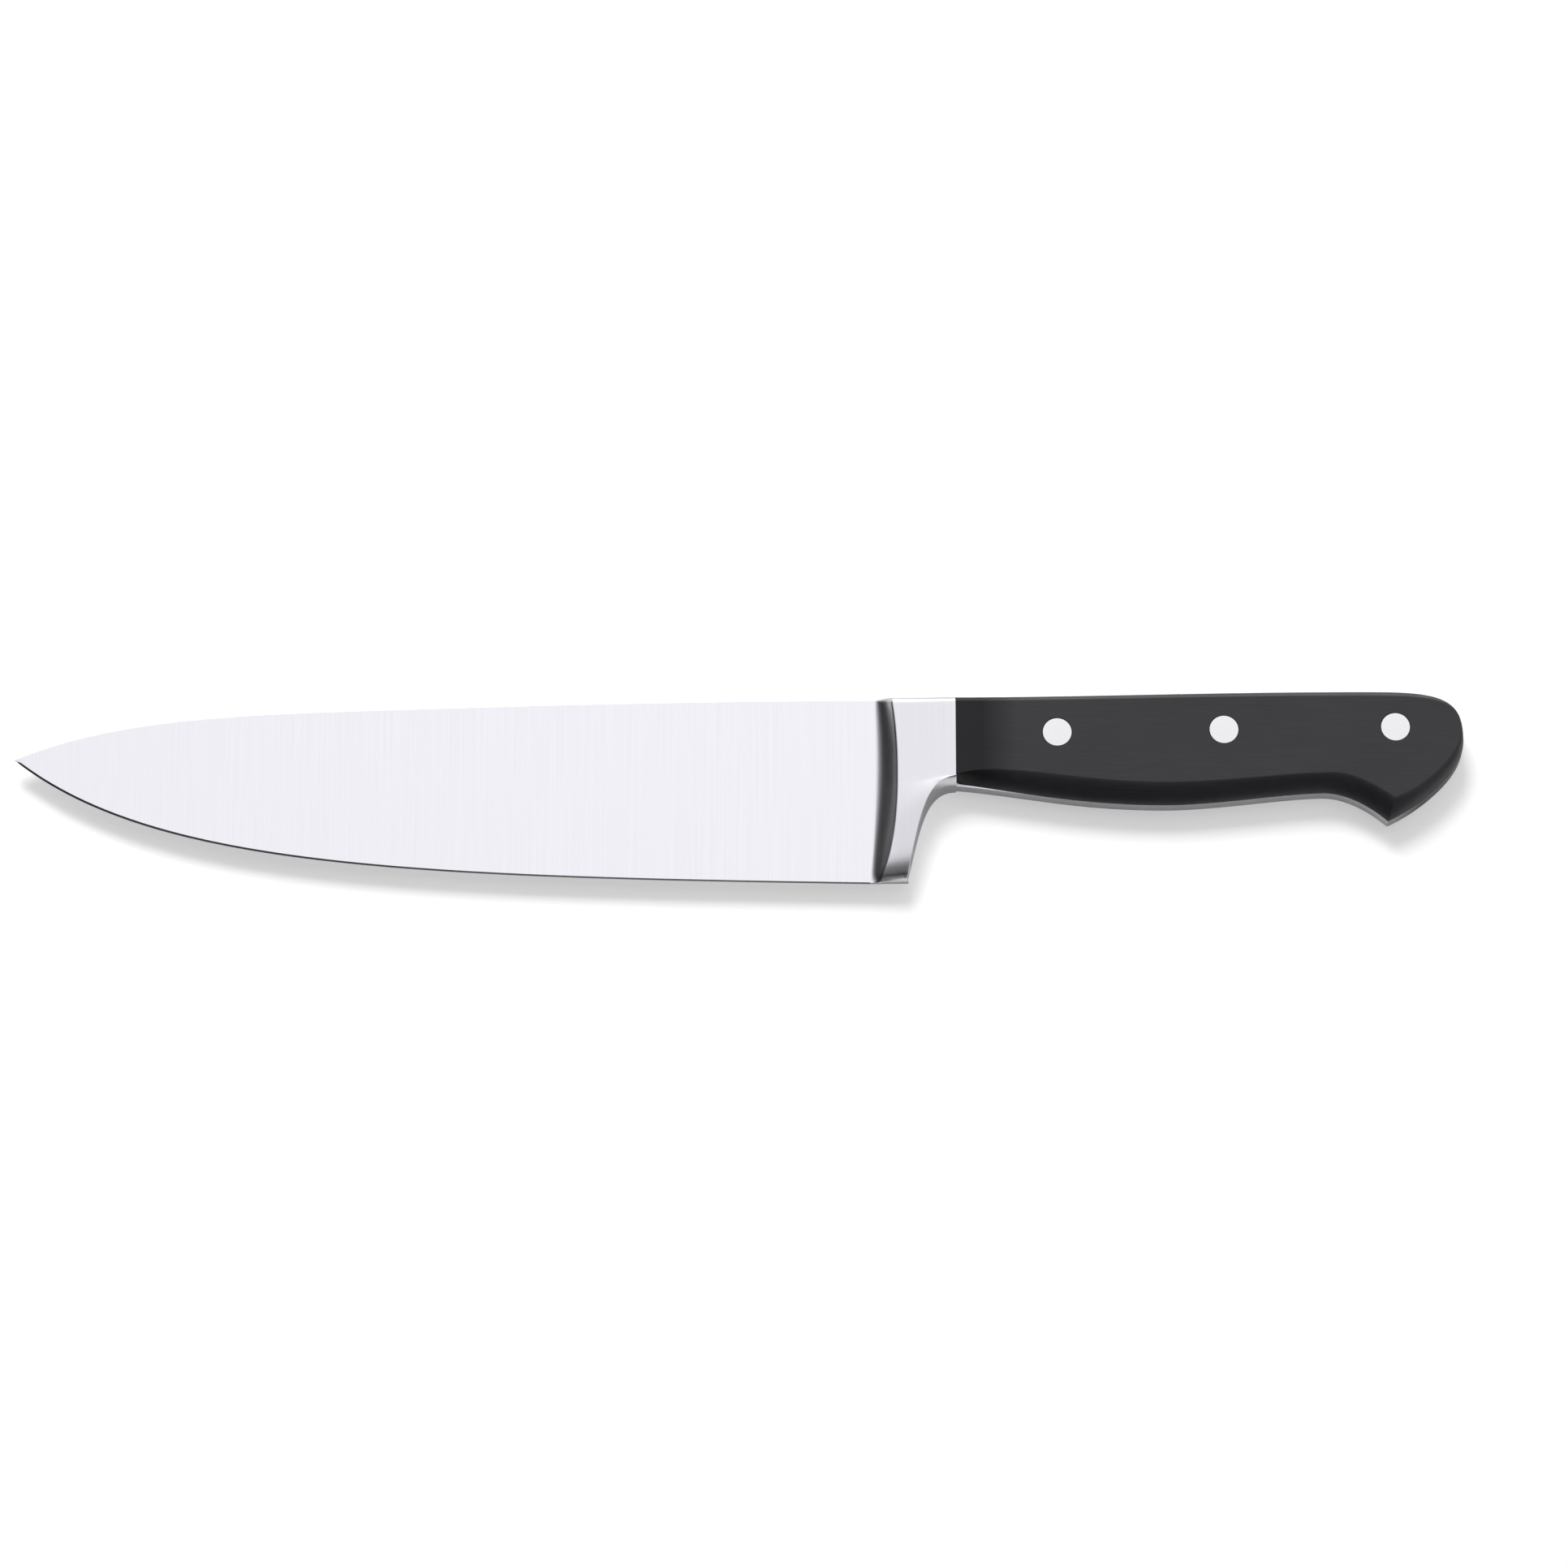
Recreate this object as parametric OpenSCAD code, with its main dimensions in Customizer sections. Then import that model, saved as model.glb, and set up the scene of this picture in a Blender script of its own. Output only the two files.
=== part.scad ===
// Forged chef knife: a full bolster and a full tang, with two riveted handle scales.
// The knife lies on its right side. The tip points to -X, the spine to +Y, and Z is the
// thickness. The outlines are drawn with x = 0 where the scales meet the bolster, y = 0
// along the spine at the bolster, and z = 0 at the middle of the thickness.

/* [Blade] */
// Length of the cutting edge, from the heel to the tip
blade_length = 199.8; // [160:0.1:240]
// Height of the blade at the heel
blade_height = 44.5; // [40:0.1:50]
// Thickness of the spine in front of the bolster
spine_thickness = 2.5; // [1.8:0.1:3.5]
// Thickness of the spine at the tip
tip_thickness = 0.7; // [0.4:0.1:1.2]
// Thickness just above the sharpened edge
edge_thickness = 0.6; // [0.2:0.02:0.8]
// Height of the sharpened bevel at the heel
edge_height = 0.32; // [0.2:0.02:1.2]
// Height of the sharpened bevel at the tip
tip_edge_height = 0.55; // [0.2:0.05:1.2]

/* [Bolster] */
// Distance from the blade's end of the heel to the scales
heel_setback = 17.8; // [16:0.1:20]
// Thickness of the finger guard at the heel
heel_thickness = 1.4; // [1:0.1:4]
// Share of the rear thickness that the bolster keeps at its front edge
front_share = 0.74; // [0.6:0.01:1]

/* [Handle] */
// Length of the scales and the tang behind the bolster
handle_length = 117.3; // [110:0.1:125]
// Rise of the handle's back above the spine
crown_y = 1.3; // [0:0.1:2]
// Thickness over both scales
handle_thickness = 11.5; // [10:0.1:14]
// Thickness of the tang between the scales
tang_thickness = 3.8; // [3:0.1:5]

/* [Rivets] */
// Diameter of the flush rivet heads
head_d = 6.9; // [6:0.1:8]
// Thickness of each rivet head
head_t = 2; // [1.2:0.1:2.4]
// Outer diameter of the hollow shank of a socket half
tube_d = 5; // [4.4:0.1:5.6]
// Diameter of the solid shank of a pin half
pin_d = 3.2; // [2.4:0.1:3.6]
// Clearance on the diameter of each rivet hole
fit = 0.1; // [0.04:0.02:0.2]

/* [Hidden] */
$fn = 64;
half_handle = handle_thickness / 2;
half_tang = tang_thickness / 2;
heel_x = -heel_setback;
tip_x = heel_x - blade_length;

// Rivet centres, front to back, on a line that rises a little towards the butt
rivet_x = [23.3, 61.8, handle_length - 15.9];
rivet_line_y = -9.75;
rivet_line_slope = 0.016;
rivet_at = [for (x = rivet_x) [x, rivet_line_y + rivet_line_slope * x]];

// ---- Curves ----
// A curve is a list of Bezier points in which each span shares its end with the next.

function lerp(a, b, t) = a + (b - a) * t;

function bezier(p, t) =
    pow(1 - t, 3) * p[0] + 3 * t * pow(1 - t, 2) * p[1]
    + 3 * t * t * (1 - t) * p[2] + pow(t, 3) * p[3];

function span(curve, i) = [for (k = [0:3]) curve[3 * i + k]];

function span_count(curve) = (len(curve) - 1) / 3;

// The parameter at which a span reaches x, found by halving
function t_at_x(p, x, lo = 0, hi = 1, steps = 24) =
    let (middle = (lo + hi) / 2)
    let (short = (bezier(p, middle).x < x) == (p[0].x < p[3].x))
    steps == 0 ? middle
    : short ? t_at_x(p, x, middle, hi, steps - 1)
    : t_at_x(p, x, lo, middle, steps - 1);

// The height of a curve at x
function y_at_x(curve, x, i = 0) =
    let (p = span(curve, i))
    let (inside = (x - p[0].x) * (x - p[3].x) <= 0)
    inside || i == span_count(curve) - 1 ? bezier(p, t_at_x(p, x)).y
    : y_at_x(curve, x, i + 1);

// Points along a curve, with n steps on each span
function samples(curve, n) = [
    for (i = [0:span_count(curve) - 1], k = [0:n - 1]) bezier(span(curve, i), k / n),
    curve[len(curve) - 1]
];

// A knot: a point, the heading there in degrees, how far the curve leans into it and out
// of it, and the turn at a corner
function knot(x, y, heading, reach_in, reach_out, turn = 0) =
    [[x, y], heading, reach_in, heading + turn, reach_out];

function toward(heading) = [cos(heading), sin(heading)];

function curve_through(knots) = [
    for (i = [0:len(knots) - 1])
        let (k = knots[i])
        each [
            if (i > 0) k[0] - k[2] * toward(k[1]),
            k[0],
            if (i < len(knots) - 1) k[0] + k[4] * toward(k[3])
        ]
];

// ---- Blade outline ----

// A point on the blade: its share of the length from the heel and of the height
function on_blade(along, down) = [heel_x - along * blade_length, -down * blade_height];

tip = on_blade(1, 0.326);
spine_curve = [
    on_blade(0, 0), on_blade(0.21, 0), on_blade(0.44, 0.029), on_blade(0.66, 0.065),
    on_blade(0.77, 0.088), on_blade(0.9, 0.124), tip
];
edge_curve = [on_blade(0, 1), on_blade(0.55, 0.963), on_blade(0.838, 0.914), tip];

function top_y(x) = x < heel_x ? y_at_x(spine_curve, x) : 0;
function bottom_y(x) = x < heel_x ? y_at_x(edge_curve, x) : -blade_height;

// ---- Bolster lines, each run from the top down ----

// Where the blade's flat begins to rise into the bolster
front_line = [[-1.3, 0], [-1.1, -15], [-1.1, -28], [-2.4, -44]];
// The crisp front edge of the bolster
crisp_line = [[3, -1.8], [4.8, -12], [5, -35], [0, -44.1]];
// The rear edge of the finger guard, on the flat of the bolster and around its rim
guard_face = [[0, -19.8], [-7.6, -20.6], [-8.6, -31.5], [-11.5, -44]];
guard_rim = [[0, -21.3], [-7.4, -21.2], [-8.6, -29.5], [-11.4, 0.4 - blade_height]];

// ---- Handle outline ----
// The rim is the outline at the tang, and the face is the edge of each scale's flat.

top_rim = curve_through([
    knot(0, 0, 0, 0, 28), knot(95, crown_y, 0, 37, 15.5), knot(handle_length, -10.5, -90, 11.1, 0)
]);
top_face = curve_through([
    knot(0, -1.9, 0, 0, 28), knot(94, -0.7, 0, 37, 15), knot(handle_length - 0.8, -8.3, -90, 7.3, 0)
]);

rear_rim_knots = [
    knot(48, -26, 0, 20, 12),
    knot(85, -23.1, 0, 9, 4.5),
    knot(99.4, -29.9, -42, 6, 4.5, 66),
    knot(handle_length, -10.5, 90, 8.7, 0)
];
tang_bottom = curve_through(concat([knot(0, -21.3, -4, 0, 11)], rear_rim_knots));
scale_bottom = curve_through(concat(
    [knot(0, -20.1, -80, 0, 0.5), knot(1.2, -20.9, -8, 0.5, 11)], rear_rim_knots));
face_bottom = curve_through([
    knot(0, -19.6, 0, 0, 0.5),
    knot(1.2, -19.2, 15, 0.5, 11),
    knot(48, -21.4, 0, 21, 14),
    knot(87, -19.1, 0, 11, 5),
    knot(101, -25.1, -34, 5, 4.5, 58),
    knot(handle_length - 0.8, -8.3, 90, 7.7, 0)
]);

// The knife's box, for the origin at the middle of its underside
overall_length = handle_length - tip_x;
shift = [
    overall_length / 2 - handle_length,
    (blade_height - crown_y) / 2,
    half_handle
];

module placed() {
    translate(shift) children();
}

// ---- Forging: one skin over the blade and the bolster ----
// Columns run from the tip to the scales, and rows from the spine to the edge.

blade_columns = 34;
ramp_columns = 6;
bolster_columns = 6;
last_column = blade_columns + ramp_columns + bolster_columns;
last_row = 16;
corner_row = 7;
rim_steps = 3;
sharp_edge = 0.03;
// Half height of the blunt end of the tip, and how far the flat stays back from it
tip_half_height = 0.1;
tip_setback = 0.4;
// How strongly the columns crowd towards the tip, and the spine's taper gathers there
tip_crowding = 1.6;
taper_power = 0.7;
// Height of the spine's rounding, as a share of its half thickness
spine_rounding = 0.2;
// How slowly the blade's flat begins to rise into the bolster
ramp_power = 1.75;
// How late the finger guard thins towards the heel
curl_power = 2.5;
// Half width of the flat band around the bolster, a little wider than the tang
half_band = half_tang + 0.4;

// Half thickness of the spine, which thins towards the tip
function spine_half(x) =
    lerp(tip_thickness, spine_thickness, pow((x - tip_x) / blade_length, taper_power)) / 2;

function blade_x(c, r) =
    let (front_x = heel_x + bezier(front_line, r / last_row).x)
    let (share = pow(c / blade_columns, tip_crowding))
    lerp(tip_x + tip_setback, front_x, share);

// Height of the sharpened bevel, which widens near the tip
function bevel_height(x, height) =
    let (from_tip = min(1, (x - tip_x) / blade_length))
    min(lerp(edge_height, tip_edge_height, pow(1 - from_tip, 3)), 0.3 * height);

// The blade's flat between the spine's rounding and the edge bevel
function blade_point(c, r) =
    let (x = blade_x(c, r))
    let (height = top_y(x) - bottom_y(x))
    let (high = top_y(x) - spine_rounding * min(spine_half(x), height))
    let (low = bottom_y(x) + bevel_height(x, height))
    let (half = min(spine_half(x), edge_thickness / 2 + 0.12 * height))
    [x, lerp(high, low, r / last_row), lerp(half, edge_thickness / 2, r / last_row)];

function crisp_point(r) =
    let (p = bezier(crisp_line, r / last_row))
    [heel_x + p.x, p.y, front_share * rear_point(r).z];

// How far down the finger guard a row meets it; the rows crowd towards the heel
function guard_share(r) = 1 - pow(min(1, (last_row - r) / (last_row - corner_row)), 1.5);

// The share of the thickness left at a height on the finger guard, which curls in towards the heel
function guard_curl(y) =
    let (top = guard_face[0].y)
    let (bottom = 0.45 - blade_height)
    let (depth = min(1, max(0, (top - y) / (top - bottom))))
    pow(1 - pow(depth, curl_power), 1 / curl_power);

// The rear edge of the bolster's flat: straight against the scales, then the finger guard
function rear_point(r) =
    let (p = r < corner_row
        ? [0, lerp(top_face[0].y, guard_face[0].y, r / corner_row)]
        : bezier(guard_face, guard_share(r)))
    [p.x, p.y, lerp(heel_thickness / 2, half_handle, guard_curl(p.y))];

function rear_rim(r) =
    let (p = r < corner_row
        ? [0, lerp(0, guard_rim[0].y, r / corner_row)]
        : bezier(guard_rim, guard_share(r)))
    [p.x, p.y, lerp(heel_thickness / 2, half_band, guard_curl(p.y))];

function ramp_point(r, u) =
    let (from = blade_point(blade_columns, r))
    let (to = crisp_point(r))
    [lerp(from.x, to.x, u), lerp(from.y, to.y, u), lerp(from.z, to.z, pow(u, ramp_power))];

function skin_point(c, r) =
    c <= blade_columns ? blade_point(c, r)
    : c <= blade_columns + ramp_columns ? ramp_point(r, (c - blade_columns) / ramp_columns)
    : lerp(crisp_point(r), rear_point(r),
           (c - blade_columns - ramp_columns) / bolster_columns);

// The outline around the skin, on which both sides of the knife are joined
function rim_point(c, r) =
    let (p = skin_point(c, r))
    let (past = max(0, (c - blade_columns) / (last_column - blade_columns)))
    let (down = r / last_row)
    c == last_column ? rear_rim(r)
    : r == 0 ? [p.x, top_y(p.x), min(half_band, 0.8 * p.z)]
    : r == last_row ? heel_rim(p.x, past)
    : [tip_x, tip.y + tip_half_height * (1 - 2 * down), lerp(2 * tip_half_height, sharp_edge, down)];

// The outline along the edge; past runs from 0 on the blade to 1 at the back of the heel
function heel_rim(x, past) = [
    x + 0.6 * past,
    lerp(bottom_y(x), rear_rim(last_row).y, past),
    lerp(sharp_edge, heel_thickness / 2, sqrt(past))
];

border = concat(
    [for (c = [0:last_column]) [c, 0]],
    [for (r = [1:last_row]) [last_column, r]],
    [for (c = [last_column - 1:-1:0]) [c, last_row]],
    [for (r = [last_row - 1:-1:1]) [0, r]]
);

// A step from the flat to the rim: fullness 1 is a plain bevel, and 2 is a rounding
function rim_step(from, to, angle, fullness) =
    let (across = pow(sin(angle), 2 / fullness))
    let (up = pow(cos(angle), 2 / fullness))
    [lerp(from.x, to.x, across), lerp(from.y, to.y, across), lerp(to.z, from.z, up)];

function rim_fullness(c, r) = r == last_row && c <= blade_columns ? 1 : 2;

function flipped(points) = [for (p = points) [p.x, p.y, -p.z]];

function ring(angle) = [
    for (b = border)
        let (c = b[0], r = b[1])
        rim_step(skin_point(c, r), rim_point(c, r), angle, rim_fullness(c, r))
];

// Quads between ring i and ring i + 1, when all rings hold n points
function ring_quads(n, i) = [
    for (k = [0:n - 1])
        let (next = (k + 1) % n)
        [i * n + k, (i + 1) * n + k, (i + 1) * n + next, i * n + next]
];

module blade_and_bolster() {
    n = len(border);
    upper_rings = [for (s = [0:rim_steps]) ring(90 * s / rim_steps)];
    lower_rings = [for (s = [rim_steps:-1:0]) flipped(upper_rings[s])];
    rings = concat(upper_rings, lower_rings);
    // The rows between the border rows are the inside of the skin
    inside = [for (c = [1:last_column - 1], r = [1:last_row - 1]) skin_point(c, r)];
    upper_start = len(rings) * n;
    lower_start = upper_start + len(inside);
    lower_ring = (len(rings) - 1) * n;

    // Number of the skin point (c, r) on the upper side or the lower side
    function border_number(c, r) =
        r == 0 ? c
        : c == last_column ? last_column + r
        : r == last_row ? 2 * last_column + last_row - c
        : n - r;
    function number(c, r, ring_start, inside_start) =
        c == 0 || c == last_column || r == 0 || r == last_row
            ? ring_start + border_number(c, r)
            : inside_start + (c - 1) * (last_row - 1) + r - 1;

    cells = [
        for (c = [0:last_column - 1], r = [0:last_row - 1])
            [[c, r], [c + 1, r], [c + 1, r + 1], [c, r + 1]]
    ];
    upper_faces = [
        for (q = cells)
            [for (k = [0:3]) number(q[k][0], q[k][1], 0, upper_start)]
    ];
    lower_faces = [
        for (q = cells)
            [for (k = [3:-1:0]) number(q[k][0], q[k][1], lower_ring, lower_start)]
    ];

    polyhedron(
        points = concat([for (r = rings) each r], inside, flipped(inside)),
        faces = concat(
            upper_faces,
            lower_faces,
            [for (i = [0:len(rings) - 2]) each ring_quads(n, i)]
        )
    );
}

module tang() {
    low = samples(tang_bottom, 8);
    high = [for (i = [len(low) - 2:-1:0]) [low[i].x, y_at_x(top_rim, low[i].x)]];
    translate([0, 0, -half_tang]) linear_extrude(tang_thickness) polygon(concat(low, high));
}

module rivet_holes(d, from, to) {
    for (p = rivet_at) translate([p.x, p.y, from]) cylinder(d = d, h = to - from);
}

// ---- Scales ----
// Each scale is lofted from the rim to the edge of its flat, in rounded levels.

scale_levels = 6;

// How round the long edges are: 1 is a plain bevel, and 2 is an ellipse
back_fullness = 1.9;
belly_fullness = 1.35;

// The belly's edge grows as round as the back's towards the butt
function edge_fullness(rim) =
    let (at_butt = min(1, max(0, (rim.x - handle_length + 18.3) / 6)))
    rim.y > -8 ? back_fullness : lerp(belly_fullness, back_fullness, at_butt);

function edge_step(rim, face, angle) =
    let (fullness = edge_fullness(rim))
    let (across = 1 - pow(cos(angle), 2 / fullness))
    let (up = pow(sin(angle), 2 / fullness))
    [each lerp(rim, face, across), lerp(half_tang, half_handle, up)];

function scale_level(angle) =
    let (low_rim = samples(scale_bottom, 8), low_face = samples(face_bottom, 8))
    [
        for (i = [0:len(low_rim) - 1]) edge_step(low_rim[i], low_face[i], angle),
        for (i = [len(low_rim) - 2:-1:0])
            let (rim = [low_rim[i].x, y_at_x(top_rim, low_rim[i].x)])
            let (face = [low_face[i].x, y_at_x(top_face, low_face[i].x)])
            edge_step(rim, face, angle)
    ];

// Strips across a level, from its lower edge to its upper edge
function level_strips(n, start) =
    let (last = (n - 1) / 2)
    [
        for (i = [0:last - 1])
            let (above = start + (n - 1 - i), above_next = start + (n - 2 - i))
            i == last - 1
                ? [start + i, above, start + last]
                : [start + i, above, above_next, start + i + 1]
    ];

function reversed(face) = [for (i = [len(face) - 1:-1:0]) face[i]];

module scale_shell() {
    levels = [for (i = [0:scale_levels]) scale_level(90 * i / scale_levels)];
    n = len(levels[0]);
    polyhedron(
        points = [for (l = levels) each l],
        faces = concat(
            [for (i = [0:scale_levels - 1]) each ring_quads(n, i)],
            level_strips(n, scale_levels * n),
            [for (f = level_strips(n, 0)) reversed(f)]
        )
    );
}

module handle_scale() {
    difference() {
        scale_shell();
        rivet_holes(tube_d + fit, half_tang - 1, half_handle + 1);
        rivet_holes(head_d + fit, half_handle - head_t, half_handle + 1);
    }
}

// ---- Rivets: a pin half pressed into a socket half ----

// Gap left between the two heads' shanks and the far head
shank_gap = 0.4;
shank_length = handle_thickness - 2 * head_t - shank_gap;
// Clearance on the diameter between the pin and the bore of the socket
pin_fit = 0.02;

module rivet_head() {
    translate([0, 0, half_handle - head_t]) cylinder(d = head_d, h = head_t);
}

// A shank below the head, let a millimetre into it
module shank(d) {
    translate([0, 0, half_handle - head_t - shank_length])
    cylinder(d = d, h = shank_length + 1);
}

module socket_half(i) {
    color([0.9, 0.9, 0.92])
    placed() translate(rivet_at[i])
    difference() {
        union() {
            rivet_head();
            shank(tube_d);
        }
        translate([0, 0, -half_handle]) cylinder(d = pin_d + pin_fit, h = handle_thickness - head_t);
    }
}

module pin_half(i) {
    color([0.86, 0.86, 0.88])
    placed() translate(rivet_at[i])
    mirror([0, 0, 1]) {
        rivet_head();
        shank(pin_d);
    }
}

// ---- Pieces ----

// The forging: blade, bolster and tang in one piece
module blade() {
    color([0.87, 0.88, 0.91])
    placed()
    difference() {
        union() {
            blade_and_bolster();
            tang();
        }
        rivet_holes(tube_d + fit, -half_tang - 1, half_tang + 1);
    }
}

module left_scale() {
    color([0.24, 0.24, 0.26]) placed() handle_scale();
}

module right_scale() {
    color([0.24, 0.24, 0.26]) placed() mirror([0, 0, 1]) handle_scale();
}

module front_rivet_socket() {
    socket_half(0);
}

module front_rivet_pin() {
    pin_half(0);
}

module middle_rivet_socket() {
    socket_half(1);
}

module middle_rivet_pin() {
    pin_half(1);
}

module rear_rivet_socket() {
    socket_half(2);
}

module rear_rivet_pin() {
    pin_half(2);
}

blade();
left_scale();
right_scale();
front_rivet_socket();
front_rivet_pin();
middle_rivet_socket();
middle_rivet_pin();
rear_rivet_socket();
rear_rivet_pin();
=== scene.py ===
"""Looks for the chef knife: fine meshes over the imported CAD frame, materials, light and camera.

Shapes are drawn in knife millimetres: x = 0 where the scales meet the bolster (tip at -x), y = 0
along the spine at the bolster, z = 0 at the middle of the thickness. to_frame() puts them in the
row frame, in metres.
"""

import math

import bmesh
import bpy
import numpy as np
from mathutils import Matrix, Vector


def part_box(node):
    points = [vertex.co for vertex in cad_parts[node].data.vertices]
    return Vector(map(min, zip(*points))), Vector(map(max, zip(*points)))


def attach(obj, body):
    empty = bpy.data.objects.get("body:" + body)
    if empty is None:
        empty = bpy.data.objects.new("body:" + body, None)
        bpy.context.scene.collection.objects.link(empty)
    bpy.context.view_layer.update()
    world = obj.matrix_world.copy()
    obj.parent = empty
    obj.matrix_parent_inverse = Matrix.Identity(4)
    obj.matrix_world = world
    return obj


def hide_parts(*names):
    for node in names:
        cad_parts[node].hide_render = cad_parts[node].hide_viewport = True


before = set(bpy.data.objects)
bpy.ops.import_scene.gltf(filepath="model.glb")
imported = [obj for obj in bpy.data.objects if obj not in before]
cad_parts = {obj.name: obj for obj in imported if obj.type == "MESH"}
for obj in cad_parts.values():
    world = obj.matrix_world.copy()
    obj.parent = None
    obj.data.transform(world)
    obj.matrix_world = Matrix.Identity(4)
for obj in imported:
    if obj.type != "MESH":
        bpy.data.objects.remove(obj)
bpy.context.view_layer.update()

# ---------------------------------------------------------------- sizes, from the frame
MM = 0.001
scale_low, scale_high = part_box("left_scale")
blade_low, blade_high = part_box("blade")
head_low, head_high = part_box("front_rivet_socket")

CROWN = 1.3                             # rise of the handle's back above the spine
HANDLE_LENGTH = (scale_high.x - scale_low.x) / MM
TIP_X = (blade_low.x - scale_low.x) / MM
BLADE_HEIGHT = (scale_high.y - blade_low.y) / MM - CROWN
HALF_HANDLE = (blade_high.z - blade_low.z) / MM / 2
HALF_TANG = (scale_low.z - blade_low.z) / MM - HALF_HANDLE
HEEL_X = -17.8                          # the blade's end of the heel
BLADE_LENGTH = HEEL_X - TIP_X
ORIGIN = Vector((scale_low.x, scale_high.y - CROWN * MM, blade_low.z + HALF_HANDLE * MM))

SPINE_THICKNESS = 2.5
TIP_THICKNESS = 0.7
SPINE_TAPER = 0.7                       # below 1, most of the thinning is near the tip
SPINE_ROUNDING = 0.2                    # of the spine's half thickness, or of the height at the tip
SPINE_FLAT = 0.8                        # of the spine's thickness, left flat between the roundings
TIP_WEDGE = 0.12                        # half thickness per millimetre of height, where the tip is narrow
NOSE_LENGTH = 0.15                      # the tip is cut short by a nose of this size
NOSE_HALF_HEIGHT = 0.05
NOSE_HALF_THICKNESS = 0.15

EDGE_THICKNESS = 0.6                    # just above the sharpened bevel
EDGE_HEIGHT = 0.32                      # at the heel; the bevel widens towards the tip
TIP_EDGE_HEIGHT = 0.55
EDGE_WIDENING = 3                       # power: how close to the tip the bevel widens
MOST_BEVEL = 0.3                        # of the blade's height, near the tip
SHARP_EDGE = 0.03                       # half thickness of the very edge

HEEL_THICKNESS = 1.4                    # of the finger guard, at the heel
HEEL_SWEEP = 0.6                        # how far the bottom of the bolster is swept back
HEEL_GROWTH = 0.5                       # power: how soon the sharp edge grows into the heel's thickness
FRONT_SHARE = 0.74                      # of the bolster's thickness, kept at its front edge
RAMP_POWER = 1.75                       # how slowly the bolster begins to rise from the blade
CREASE_RADIUS = 0.3                     # of the crisp edge, and at most CREASE_SHARE of the ramp's rise
CREASE_SHARE = 0.15
CURL_POWER = 2.5                        # how late the finger guard thins towards the heel
CURL_END = 0.45                         # the curl is complete this far above the heel's corner
HALF_BAND = HALF_TANG + 0.4             # half width of the strip along the bolster's back and underside
REAR_CHAMFER = 0.18                     # broken edge of the bolster against the scales
CHAMFER_DROP = 0.6 * REAR_CHAMFER

# How round an edge is: 1 is a plain bevel and 2 is an ellipse
BEVEL = 1
ELLIPSE = 2
TOP_FULLNESS = 1.9                      # the handle's back, and the butt
BELLY_FULLNESS = 1.35                   # the scales' lower edge
GUARD_FULLNESS = 1.45                   # the finger guard's rear edge
BELLY_Y = -8                            # the scales' edges below this are the belly's
BUTT_TURN_X = 99                        # from here the belly turns as round as the top
BUTT_TURN_LENGTH = 6

TUBE_RADIUS = 2.5                       # outside of a socket's shank
PIN_RADIUS = 1.6
PIN_CLEARANCE = 0.01
PIN_CHAMFER = 0.2
HEAD_THICKNESS = 2.0
HEAD_RADIUS = (head_high.x - head_low.x) / MM / 2
HEAD_CROWN = 0.03
HEAD_CHAMFER = 0.14
HOLE_CLEARANCE = 0.05                   # on the radius
RIVET_LENGTH = (head_high.z - head_low.z) / MM
SHANK_END = RIVET_LENGTH - HALF_HANDLE  # how far the shank reaches past the middle
CUT_PAST = 1                            # how far a hole's cutter reaches past the material
TURN_STEPS = 96                         # around a rivet or a hole


def rivet_centre(name):
    low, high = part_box(name + "_rivet_socket")
    centre = ((low + high) / 2 - ORIGIN) / MM
    return centre.x, centre.y


RIVETS = {name: rivet_centre(name) for name in ("front", "middle", "rear")}


def to_frame(points):
    return [ORIGIN + Vector(p) * MM for p in points]


# ---------------------------------------------------------------- curves
def lerp(a, b, t):
    return a + (b - a) * t


def clamp(value):
    return min(1, max(0, value))


def bezier(p, t):
    p = np.asarray(p, float)
    back = 1 - t
    return back ** 3 * p[0] + 3 * t * back ** 2 * p[1] + 3 * t * t * back * p[2] + t ** 3 * p[3]


def spans(curve):
    """The Bezier spans of a chain, in which each span shares its end with the next."""
    return [curve[i:i + 4] for i in range(0, len(curve) - 1, 3)]


def samples(curve, steps):
    """Points along a chain of Bezier spans, with the same number of steps on each."""
    points = [bezier(p, k / steps) for p in spans(curve) for k in range(steps)]
    return np.array(points + [curve[-1]])


def height_table(curve):
    """A function that gives the curve's y at any x; x must only rise or only fall along it."""
    points = samples(curve, 400)
    order = np.argsort(points[:, 0], kind="stable")
    xs, ys = points[order, 0], points[order, 1]
    return lambda x: float(np.interp(x, xs, ys))


def knot(x, y, heading, reach_in, reach_out, turn=0):
    """A point, the heading there in degrees, how far the curve leans in and out, and a corner's turn."""
    return np.array([x, y], float), heading, reach_in, heading + turn, reach_out


def toward(heading):
    return np.array([math.cos(math.radians(heading)), math.sin(math.radians(heading))])


def curve_through(knots):
    """A chain of Bezier spans through the knots."""
    points = []
    for i, (at, heading_in, reach_in, heading_out, reach_out) in enumerate(knots):
        if i > 0:
            points.append(at - reach_in * toward(heading_in))
        points.append(at)
        if i < len(knots) - 1:
            points.append(at + reach_out * toward(heading_out))
    return points


# ---------------------------------------------------------------- outlines
def on_blade(along, down):
    """A point by its share of the blade's length from the heel, and of its height below the spine."""
    return np.array([HEEL_X - along * BLADE_LENGTH, -down * BLADE_HEIGHT])


TIP = on_blade(1, 0.326)
spine_y = height_table([
    on_blade(0, 0), on_blade(0.21, 0), on_blade(0.44, 0.029), on_blade(0.66, 0.065),
    on_blade(0.77, 0.088), on_blade(0.9, 0.124), TIP,
])
edge_y = height_table([on_blade(0, 1), on_blade(0.55, 0.963), on_blade(0.838, 0.914), TIP])

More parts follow.
